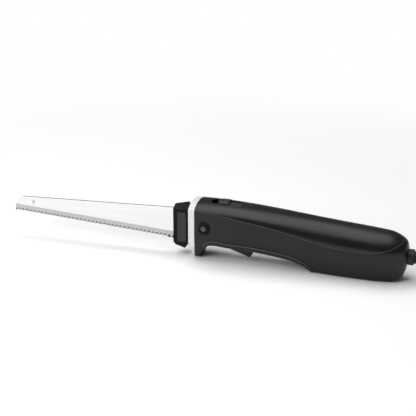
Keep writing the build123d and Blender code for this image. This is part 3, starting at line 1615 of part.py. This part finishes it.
# Strap that ties the coil, on its side away from the handle
inner_edge = coil_inner_reach - half_pitch / 2 - cord_radius
tie_inner = sqrt(inner_edge ** 2 - ((tie_width + half_pitch) / 2) ** 2) - tie_slack
tie_outer = (coil_reaches[0] + coil_reaches[1]) / 2 + cord_radius + tie_slack
tie_low = coil_lay - play
tie_high = lay_height + coil_pitch + cord_radius + play
with BuildPart() as cord_tie:
    with BuildSketch(sidewise(coil_y + tie_width / 2)):
        with Locations((coil_x + (tie_inner + tie_outer) / 2, (tie_low + tie_high) / 2)):
            RectangleRounded(tie_outer - tie_inner + 2 * tie_thick,
                             tie_high - tie_low + 2 * tie_thick, cord_radius / 2)
            RectangleRounded(tie_outer - tie_inner, tie_high - tie_low,
                             cord_radius / 2 - tie_thick, mode=Mode.SUBTRACT)
    extrude(amount=tie_width)
cord_tie.part.label = "cord_tie"
export_step(cord_tie.part, "parts/cord_tie.step")

# Plug with two flat pins
plug_x, plug_y, plug_z = plug_route[-1]
plug_plane = Plane(origin=(plug_x, plug_y, plug_z), x_dir=(0, 1, 0), z_dir=(-1, 0, 0))
shoulder_length = plug_neck_length / 2
with BuildPart() as plug_body:
    with BuildSketch(plug_plane):
        Circle(plug_entry_radius)
    with BuildSketch(plug_plane.offset(plug_neck_length)):
        Circle(plug_neck_radius)
    loft()
    for depth, share in (
        (plug_neck_length, plug_shoulder_share), (plug_neck_length + shoulder_length, 1),
    ):
        with BuildSketch(plug_plane.offset(depth)):
            RectangleRounded(plug_width * share, plug_height * share, plug_round * share)
    loft()
    with BuildSketch(plug_plane.offset(plug_neck_length + shoulder_length)):
        RectangleRounded(plug_width, plug_height, plug_round)
    extrude(amount=plug_length - shoulder_length)
plug_body.part.label = "plug_body"
export_step(plug_body.part, "parts/plug_body.step")

with BuildPart() as plug_pins:
    with BuildSketch(plug_plane.offset(plug_neck_length + plug_length)):
        with GridLocations(pin_spacing, 0, 2, 1):
            Rectangle(pin_thick, pin_width)
    extrude(amount=pin_length)
    fillet(plug_pins.edges().filter_by(Axis.Y).group_by(Axis.X)[0], radius=pin_soft)
plug_pins.part.label = "plug_pins"
export_step(plug_pins.part, "parts/plug_pins.step")
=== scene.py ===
import json
from math import cos, pi, radians, sin, sqrt

import bpy
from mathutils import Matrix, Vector


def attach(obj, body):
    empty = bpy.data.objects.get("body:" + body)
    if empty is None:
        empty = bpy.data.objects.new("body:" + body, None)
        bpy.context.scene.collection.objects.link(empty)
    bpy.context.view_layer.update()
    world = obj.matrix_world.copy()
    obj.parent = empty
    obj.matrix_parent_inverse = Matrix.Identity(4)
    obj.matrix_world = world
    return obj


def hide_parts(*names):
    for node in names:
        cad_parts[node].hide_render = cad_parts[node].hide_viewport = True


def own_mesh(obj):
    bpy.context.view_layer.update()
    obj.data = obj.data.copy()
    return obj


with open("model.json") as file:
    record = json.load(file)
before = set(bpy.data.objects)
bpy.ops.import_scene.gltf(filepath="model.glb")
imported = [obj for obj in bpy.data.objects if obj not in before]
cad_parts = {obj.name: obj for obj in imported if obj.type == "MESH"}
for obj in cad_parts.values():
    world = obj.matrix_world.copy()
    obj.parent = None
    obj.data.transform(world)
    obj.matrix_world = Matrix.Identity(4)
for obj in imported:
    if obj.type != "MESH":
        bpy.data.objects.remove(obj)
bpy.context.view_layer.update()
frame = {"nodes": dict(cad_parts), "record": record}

NODES = frame["nodes"]
MM = 0.001
scene = bpy.context.scene

# Camera
AZIMUTH, ELEVATION, DISTANCE = radians(18.0), radians(20.0), 1.103
TARGET = Vector((0.009, 0.0, 0.0555))
back = Vector((sin(AZIMUTH) * cos(ELEVATION), -cos(AZIMUTH) * cos(ELEVATION), sin(ELEVATION)))
camera = bpy.data.objects.new("camera", bpy.data.cameras.new("camera"))
scene.collection.objects.link(camera)
camera.data.sensor_width = 36.0
camera.data.lens = 36.0 * 1000.0 / 416.0
camera.data.clip_end = 50.0
camera.location = TARGET + back * DISTANCE
camera.rotation_euler = (-back).to_track_quat("-Z", "Y").to_euler()
scene.camera = camera

# Cord: one spline from the strain relief through the coil to the plug
CORD_DIAMETER = 6.0
cord_route = [
    (276.0, 0.0, 26.0), (288.5, 0.0, 26.0), (300.9, -2.9, 23.3), (311.5, -8.5, 18.3),
    (319.3, -16.2, 11.3), (329.9, -21.8, 6.2), (342.3, -24.7, 3.6), (355.0, -24.7, 3.6),
]
plug_route = [
    (355.0, 54.5, 10.2), (345.0, 54.5, 10.2), (334.8, 52.1, 9.5), (325.5, 47.4, 8.0),
    (315.4, 45.0, 7.3), (305.4, 45.0, 7.3),
]
COIL_CENTRE = (361.0, 16.0)
COIL_REACHES = [40.7, 37.4, 34.1, 30.8, 27.5, 24.2, 31.3, 31.9, 37.9, 38.5]
COIL_LEVELS = [3.6] * 5 + [10.2] * 5
POINTS_PER_HALF_TURN = 8


def coil_points():
    """Control points whose spline runs along the coil's half turns."""
    points = []
    for k in range(len(COIL_REACHES) - 1):
        side = 1 if k % 2 == 0 else -1
        start, end = side * COIL_REACHES[k], -side * COIL_REACHES[k + 1]
        centre, radius = (start + end) / 2, abs(start - end) / 2
        radius /= cos(pi / POINTS_PER_HALF_TURN / 2)
        low, high = COIL_LEVELS[k], COIL_LEVELS[k + 1]
        for j in range(POINTS_PER_HALF_TURN):
            turn = pi * (j + 0.5) / POINTS_PER_HALF_TURN
            points.append((
                COIL_CENTRE[0] + side * radius * sin(turn),
                COIL_CENTRE[1] - centre - side * radius * cos(turn),
                low + (high - low) * (1 - cos(turn)) / 2,
            ))
    return points


def nurbs_cord(name, points, radius):
    """Round tube along a smooth spline with the given control points, in millimetres."""
    curve = bpy.data.curves.new(name, "CURVE")
    curve.dimensions = "3D"
    curve.bevel_depth = 1.0
    curve.bevel_resolution = 5
    curve.resolution_u = 6
    curve.use_fill_caps = True
    spline = curve.splines.new("NURBS")
    spline.points.add(len(points) - 1)
    for place, point in zip(spline.points, points):
        place.co = (point[0] * MM, point[1] * MM, point[2] * MM, 1.0)
        place.radius = radius * MM
    spline.order_u = 3
    spline.use_endpoint_u = True
    made = bpy.data.objects.new(name, curve)
    scene.collection.objects.link(made)
    return made


power_lead = nurbs_cord(
    "power_lead", cord_route + coil_points() + plug_route, CORD_DIAMETER / 2
)
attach(power_lead, "housing")
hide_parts("power_cord", "cord_coil", "plug_lead")


def pressed_spring(node):
    """The spring's own form, copied and attached to the housing in place of the part."""
    spring = bpy.data.objects.new(f"pressed_{node}", NODES[node].data.copy())
    spring.matrix_world = NODES[node].matrix_world.copy()
    scene.collection.objects.link(spring)
    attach(spring, "housing")
    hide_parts(node)
    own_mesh(spring)
    return spring


springs = [
    pressed_spring("trigger_spring"),
    pressed_spring("left_release_spring"),
    pressed_spring("right_release_spring"),
]

# Materials
# The cutting edge's ends, the ground band and the scallops, in millimetres
TIP_EDGE = (-228.7, 27.0)
HEEL_EDGE = (-33.0, 15.6)
GRIND_WIDTH = 8.3
SCALLOP_START = 4.2
SCALLOP_PITCH = 4.95
HOLLOW_REACH = 1.9          # how far above the edge the hollows' shade reaches, on average
HOLLOW_SWING = 1.7          # and how much more at a scallop's middle
# The hollow round a release button
DISH_CENTRE = (11.4, 39.8)
DISH_RADIUS = 7.6
DISH_DEPTH = 2.0
# Where the hub's frame and its top, which gets painted shade, begin, in metres: across and up
HUB_FRAME_FROM = (0.0084, 0.0087)
HUB_SHADED_TOP_FROM = (0.0515, 0.0535)
# The height between the trigger and the release buttons, above which a painted highlight starts, in
# metres
BUTTON_HIGHLIGHT_FROM = (0.029, 0.031)
# How far the floor is the scene's own, and where it is plain white, in metres
FLOOR_FADE = (0.38, 0.8)


class Finish:
    """A Principled material whose colour, roughness and bump come from procedural nodes."""

    def __init__(self, name, color, roughness, metallic=0.0, specular=0.5):
        self.material = bpy.data.materials.new(name)
        self.material.use_nodes = True
        self.tree = self.material.node_tree
        self.shader = self.tree.nodes["Principled BSDF"]
        self.shader.inputs["Base Color"].default_value = (*color, 1.0)
        self.shader.inputs["Roughness"].default_value = roughness
        self.shader.inputs["Metallic"].default_value = metallic
        self.shader.inputs["Specular IOR Level"].default_value = specular
        self.place = self.node("ShaderNodeTexCoord").outputs["Object"]
        self.normal = None
        self.edge_highlight_tone = None

    def node(self, kind, **inputs):
        made = self.tree.nodes.new(kind)
        for key, value in inputs.items():
            self.put(made.inputs[key.replace("_", " ")], value)
        return made

    def put(self, socket, value):
        if isinstance(value, bpy.types.NodeSocket):
            self.tree.links.new(value, socket)
        else:
            socket.default_value = value

    def stretched(self, scale):
        mapping = self.node("ShaderNodeMapping", Vector=self.place)
        mapping.inputs["Scale"].default_value = scale
        return mapping.outputs["Vector"]

    def noise(self, scale, detail=3.0, roughness=0.5, stretch=None):
        vector = self.stretched(stretch) if stretch else self.place
        made = self.node("ShaderNodeTexNoise", Vector=vector, Scale=scale, Detail=detail,
                         Roughness=roughness)
        return made.outputs["Fac"]

    def math(self, operation, a, b=0.0, c=0.0):
        made = self.tree.nodes.new("ShaderNodeMath")
        made.operation = operation
        self.put(made.inputs[0], a)
        self.put(made.inputs[1], b)
        self.put(made.inputs[2], c)
        return made.outputs[0]

    def range(self, value, low, high, to_low, to_high):
        made = self.tree.nodes.new("ShaderNodeMapRange")
        made.clamp = True
        self.put(made.inputs["Value"], value)
        for key, number in (("From Min", low), ("From Max", high), ("To Min", to_low),
                            ("To Max", to_high)):
            self.put(made.inputs[key], number)
        return made.outputs["Result"]

    def mix(self, factor, first, second):
        made = self.tree.nodes.new("ShaderNodeMix")
        made.data_type = "RGBA"
        self.put(made.inputs[0], factor)
        self.put(made.inputs[6], first if isinstance(first, bpy.types.NodeSocket) else (*first, 1.0))
        self.put(made.inputs[7], second if isinstance(second, bpy.types.NodeSocket) else (*second, 1.0))
        return made.outputs[2]

    def colour(self, value):
        # Painted highlight: the edges are mixed towards the edge tone.
        if self.edge_highlight_tone is not None:
            value = self.mix(self.edge_highlight_share, value, self.edge_highlight_tone)
        self.put(self.shader.inputs["Base Color"], value)

    def rough(self, value):
        self.put(self.shader.inputs["Roughness"], value)

    def bump(self, height, strength, distance):
        made = self.node("ShaderNodeBump", Height=height, Strength=strength, Distance=distance)
        if self.normal is not None:
            self.put(made.inputs["Normal"], self.normal)
        self.normal = made.outputs["Normal"]
        self.put(self.shader.inputs["Normal"], self.normal)

    def round_and_highlight_edges(self, radius, tone=None):
        """Rounds the edges that the light catches, and paints a highlight on them in the given tone."""
        made = self.node("ShaderNodeBevel", Radius=radius)
        made.samples = 6
        self.normal = made.outputs["Normal"]
        if tone is None:
            return
        turned = self.node("ShaderNodeVectorMath")
        turned.operation = "DOT_PRODUCT"
        self.put(turned.inputs[0], made.outputs["Normal"])
        self.put(turned.inputs[1], self.node("ShaderNodeNewGeometry").outputs["Normal"])
        self.edge_highlight_share = self.range(turned.outputs["Value"], 0.985, 0.85, 0.0, 1.0)
        self.edge_highlight_tone = tone

    def xyz(self):
        return self.node("ShaderNodeSeparateXYZ", Vector=self.place).outputs


def moulded(name, color, rough, grain=2600.0, depth=0.00003, strength=0.25, spread=0.25,
            specular=0.5, edge=0.0005, edge_highlight_tone=None):
    """Moulded plastic: fine grain in the tool, slight variation of tone and sheen."""
    made = Finish(name, color, rough, specular=specular)
    # Painted highlight along the edges when an edge tone is given.
    made.round_and_highlight_edges(edge, edge_highlight_tone)
    cloud = made.noise(22.0, 4.0)
    light = tuple(min(1.0, c * (1 + spread)) for c in color)
    dark = tuple(c * (1 - spread) for c in color)
    made.colour(made.mix(made.range(cloud, 0.3, 0.7, 0.0, 1.0), dark, light))
    smear = made.noise(70.0, 3.0, stretch=(0.35, 1.0, 1.0))
    made.rough(made.range(smear, 0.3, 0.7, rough - 0.05, rough + 0.05))
    made.bump(made.noise(grain, 2.0), strength, depth)
    return made


def metal(name, color, rough, lines=1800.0, stretch=(0.02, 1.0, 1.0), strength=0.12,
          depth=0.00002):
    """Worked metal: fine drawn lines along one axis and a slightly uneven polish."""
    made = Finish(name, color, rough, metallic=1.0)
    drawn = made.noise(lines, 3.0, 0.6, stretch)
    cloud = made.noise(30.0, 3.0)
    dark = tuple(c * 0.86 for c in color)
    made.colour(made.mix(made.range(drawn, 0.35, 0.65, 0.0, 1.0), dark, color))
    made.rough(made.range(cloud, 0.3, 0.7, rough * 0.8, rough * 1.25))
    made.bump(drawn, strength, depth)
    return made


def blade_metal():
    """Polished blade: lengthwise lines on the flat, a duller ground band, painted shade in the hollows
    at the teeth.
    """
    made = Finish("blade_steel", (0.66, 0.66, 0.665), 0.2, metallic=1.0)
    x, _, z = made.xyz()
    slope = (HEEL_EDGE[1] - TIP_EDGE[1]) / (HEEL_EDGE[0] - TIP_EDGE[0])
    edge = made.math("MULTIPLY_ADD", x, slope, (TIP_EDGE[1] - slope * TIP_EDGE[0]) * MM)
    above = made.math("SUBTRACT", z, edge)
    ground = made.range(above, GRIND_WIDTH * MM - 0.0004, GRIND_WIDTH * MM, 1.0, 0.0)
    along = made.noise(1500.0, 3.0, 0.6, stretch=(0.015, 1.0, 1.0))
    across = made.noise(1500.0, 3.0, 0.6, stretch=(1.0, 1.0, 0.03))
    flat = made.mix(made.range(along, 0.35, 0.65, 0.0, 1.0), (0.79, 0.79, 0.795), (0.87, 0.87, 0.875))
    band = made.mix(made.range(across, 0.3, 0.7, 0.0, 1.0), (0.48, 0.48, 0.49), (0.64, 0.64, 0.65))
    lean = sqrt(1 + slope * slope)
    start = TIP_EDGE[0] + SCALLOP_START / lean
    phase = made.math("MULTIPLY_ADD", x, 2 * pi * lean / (SCALLOP_PITCH * MM),
                      -2 * pi * lean * start / SCALLOP_PITCH)
    wave = made.math("COSINE", phase)
    reach = made.math("MULTIPLY_ADD", wave, HOLLOW_SWING * MM, HOLLOW_REACH * MM)
    into = made.math("SUBTRACT", reach, above)
    hollow_shade = made.range(into, -0.0002, 0.0004, 0.0, 1.0)
    surface = made.mix(ground, flat, band)
    # Painted shade: the scallops' hollows just above the edge are darkened.
    made.colour(made.mix(hollow_shade, surface, (0.06, 0.06, 0.062)))
    made.rough(made.range(ground, 0.0, 1.0, 0.2, 0.42))
    made.bump(made.mix(ground, along, across), 0.1, 0.00002)
    return made


def rubber(name, color, rough, grain=1800.0):
    """Soft black rubber with a faint bloom."""
    made = Finish(name, color, rough, specular=0.35)
    bloom = made.noise(45.0, 4.0)
    pale = tuple(min(1.0, c * 1.6 + 0.01) for c in color)
    made.colour(made.mix(made.range(bloom, 0.45, 0.8, 0.0, 1.0), color, pale))
    made.rough(made.range(bloom, 0.3, 0.7, rough - 0.06, rough + 0.06))
    made.bump(made.noise(grain, 3.0), 0.3, 0.00004)
    return made


def dished_housing():
    """Black housing; the hollows round its release buttons look as deep as they are."""
    # The housing's edges, the seam's among them, get a painted highlight.
    made = moulded("black_housing", (0.003, 0.003, 0.0035), 0.4, specular=0.4, edge=0.0011,
                   edge_highlight_tone=(0.16, 0.16, 0.165))
    x, _, z = made.xyz()
    across = made.math("SUBTRACT", x, DISH_CENTRE[0] * MM)
    up = made.math("SUBTRACT", z, DISH_CENTRE[1] * MM)
    away = made.math("SQRT", made.math("ADD", made.math("POWER", across, 2.0),
                                       made.math("POWER", up, 2.0)))
    share = made.math("DIVIDE", away, DISH_RADIUS * MM)
    bowl = made.math("POWER", made.math("MINIMUM", share, 1.0), 2.0)
    made.bump(bowl, 1.0, DISH_DEPTH * MM)
    return made


def lit_controls():
    """Trigger and release buttons: a painted highlight makes the buttons a little paler than the
    trigger.
    """
    made = moulded("black_controls", (0.006, 0.006, 0.007), 0.34, strength=0.12, specular=0.4)
    z = made.xyz()[2]
    # Painted highlight on the release buttons, above the trigger's height.
    made.colour(made.mix(made.range(z, *BUTTON_HIGHLIGHT_FROM, 0.0, 1.0), (0.006, 0.006, 0.007),
                         (0.06, 0.06, 0.062)))
    return made


def framed_hub():
    """Blade hub: a pale recessed panel inside a glossy black frame, and painted shade on its top."""
    # Its edges get a painted highlight.
    made = moulded("hub", (0.03, 0.03, 0.033), 0.42, strength=0.15, specular=0.14, edge=0.0006,
                   edge_highlight_tone=(0.07, 0.07, 0.072))
    _, y, z = made.xyz()
    proud = made.range(made.math("ABSOLUTE", y), *HUB_FRAME_FROM, 0.0, 1.0)
    shaded_top = made.range(z, *HUB_SHADED_TOP_FROM, 0.0, 1.0)
    # Painted shade: the hub's top gets the frame's dark colour.
    frame_and_shaded_top_share = made.math("MAXIMUM", proud, shaded_top)
    made.colour(made.mix(frame_and_shaded_top_share, (0.046, 0.046, 0.048), (0.003, 0.003, 0.0035)))
    return made


finishes = {
    # The cover's edges get a faint painted highlight.
    "upper_cover": moulded("upper_cover", (0.007, 0.007, 0.008), 0.3, strength=0.1, specular=0.42,
                           edge=0.0004, edge_highlight_tone=(0.03, 0.03, 0.031)),
    "black_housing": dished_housing(),
    "silver_band": moulded("silver_band", (0.74, 0.74, 0.75), 0.3, spread=0.04, strength=0.08),
    # The lock's edges get a strong painted highlight.
    "lock": moulded("lock", (0.03, 0.031, 0.031), 0.34, strength=0.12, specular=0.5,
                    edge=0.0004, edge_highlight_tone=(0.3, 0.3, 0.3)),
    "black_controls": lit_controls(),
    "blade_steel": blade_metal(),
    "hub": framed_hub(),
    "steel": metal("steel", (0.62, 0.62, 0.64), 0.3),
    "arm_plastic": moulded("arm_plastic", (0.82, 0.81, 0.77), 0.42, spread=0.04),
    "gear_plastic": moulded("gear_plastic", (0.86, 0.84, 0.77), 0.4, spread=0.04),
    "frame_metal": metal("frame_metal", (0.66, 0.66, 0.68), 0.45, 700.0, (1.0, 1.0, 1.0)),
    "bronze": metal("bronze", (0.62, 0.42, 0.24), 0.5, 900.0, (1.0, 1.0, 1.0)),
    "lamination": metal("lamination", (0.3, 0.3, 0.32), 0.5, 1600.0, (1.0, 0.03, 0.03), 0.5, 0.0001),
    "copper": metal("copper", (0.72, 0.34, 0.17), 0.35, 1400.0, (1.0, 0.04, 0.04), 0.4, 0.0001),
    "grey_plastic": moulded("grey_plastic", (0.3, 0.3, 0.32), 0.45, spread=0.08),
    "bracket_metal": metal("bracket_metal", (0.6, 0.6, 0.62), 0.42, 800.0, (1.0, 1.0, 1.0)),
    "brass": metal("brass", (0.78, 0.6, 0.3), 0.28),
    "carbon": moulded("carbon", (0.04, 0.04, 0.04), 0.6),
    "switch_case": moulded("switch_case", (0.1, 0.1, 0.11), 0.35),
    "relief_rubber": rubber("relief_rubber", (0.012, 0.012, 0.013), 0.5),
    "cord": rubber("cord", (0.012, 0.012, 0.013), 0.45),
}


def paint(made, slot):
    """Gives an object the finish of a record slot."""
    material = finishes[slot].material
    if made.material_slots:
        for place in made.material_slots:
            place.material = material
    else:
        made.data.materials.append(material)


for part in frame["record"]["subparts"]:
    paint(NODES[part["node"]], part["material_slot"])
paint(power_lead, "cord")
for spring in springs:
    paint(spring, "steel")

# Floor, light and background
bpy.ops.mesh.primitive_plane_add(size=8.0, location=(0.0, 0.0, -0.0002))
floor = bpy.context.object
floor.name = "floor"
floor_finish = Finish("floor_finish", (0.93, 0.93, 0.935), 0.9, specular=0.1)
paint_cloud = floor_finish.noise(3.0, 2.0)
floor_finish.colour(floor_finish.mix(paint_cloud, (0.925, 0.925, 0.93), (0.94, 0.94, 0.945)))
away = floor_finish.node("ShaderNodeVectorMath", Vector=floor_finish.place)
away.operation = "LENGTH"
backdrop = floor_finish.range(away.outputs["Value"], *FLOOR_FADE, 0.0, 1.0)
seen = floor_finish.node("ShaderNodeLightPath").outputs["Is Camera Ray"]
plain_white = floor_finish.node("ShaderNodeEmission", Color=(1.0, 1.0, 1.0, 1.0), Strength=1.0)
blend = floor_finish.node("ShaderNodeMixShader")
floor_finish.put(blend.inputs[0], floor_finish.math("MULTIPLY", backdrop, seen))
floor_finish.put(blend.inputs[1], floor_finish.shader.outputs[0])
floor_finish.put(blend.inputs[2], plain_white.outputs[0])
floor_finish.put(floor_finish.tree.nodes["Material Output"].inputs["Surface"], blend.outputs[0])
floor.data.materials.append(floor_finish.material)

# Brightness of the world near the horizon and in the softbox overhead
HORIZON, OVERHEAD = 0.14, 2.25
SOFTBOX_DIRECTION = (-0.2, 0.06, 0.978)
SOFTBOX_RIM, SOFTBOX_CORE = 0.72, 0.97      # cosines of the angle from its middle


def studio_world():
    """Bright overhead, dim towards the horizon, and plain white behind the object."""
    world = bpy.data.worlds.new("studio")
    world.use_nodes = True
    tree = world.node_tree

    def node(kind, **settings):
        made = tree.nodes.new(kind)
        for key, value in settings.items():
            setattr(made, key, value)
        return made

    direction = node("ShaderNodeTexCoord").outputs["Generated"]
    toward = node("ShaderNodeVectorMath", operation="DOT_PRODUCT")
    tree.links.new(direction, toward.inputs[0])
    toward.inputs[1].default_value = SOFTBOX_DIRECTION
    height = node("ShaderNodeMapRange", interpolation_type="SMOOTHSTEP")
    tree.links.new(toward.outputs["Value"], height.inputs["Value"])
    for key, value in (("From Min", SOFTBOX_RIM), ("From Max", SOFTBOX_CORE),
                       ("To Min", HORIZON), ("To Max", OVERHEAD)):
        height.inputs[key].default_value = value
    sky = tree.nodes["Background"]
    tree.links.new(height.outputs["Result"], sky.inputs["Strength"])
    sky.inputs["Color"].default_value = (1.0, 1.0, 1.0, 1.0)
    white = node("ShaderNodeBackground")
    white.inputs["Color"].default_value = (1.0, 1.0, 1.0, 1.0)
    white.inputs["Strength"].default_value = 1.0
    path = node("ShaderNodeLightPath")
    mixer = node("ShaderNodeMixShader")
    tree.links.new(path.outputs["Is Camera Ray"], mixer.inputs[0])
    tree.links.new(sky.outputs[0], mixer.inputs[1])
    tree.links.new(white.outputs[0], mixer.inputs[2])
    tree.links.new(mixer.outputs[0], tree.nodes["World Output"].inputs["Surface"])
    return world


scene.world = studio_world()


def lamp(name, place, aim, size, power):
    """Soft rectangular lamp aimed at a point, left out of reflections."""
    data = bpy.data.lights.new(name, "AREA")
    data.shape = "RECTANGLE"
    data.size, data.size_y = size
    data.energy = power
    made = bpy.data.objects.new(name, data)
    scene.collection.objects.link(made)
    made.location = place
    made.rotation_euler = (Vector(aim) - Vector(place)).to_track_quat("-Z", "Y").to_euler()
    made.visible_glossy = False
    return made


lamp("key", (-0.35, 0.45, 1.2), (0.02, 0.0, 0.03), (0.9, 0.5), 3.0)
lamp("fill", (-0.5, -0.9, 0.7), (0.0, 0.0, 0.03), (0.7, 0.7), 8.0)

scene.view_settings.view_transform = "Standard"
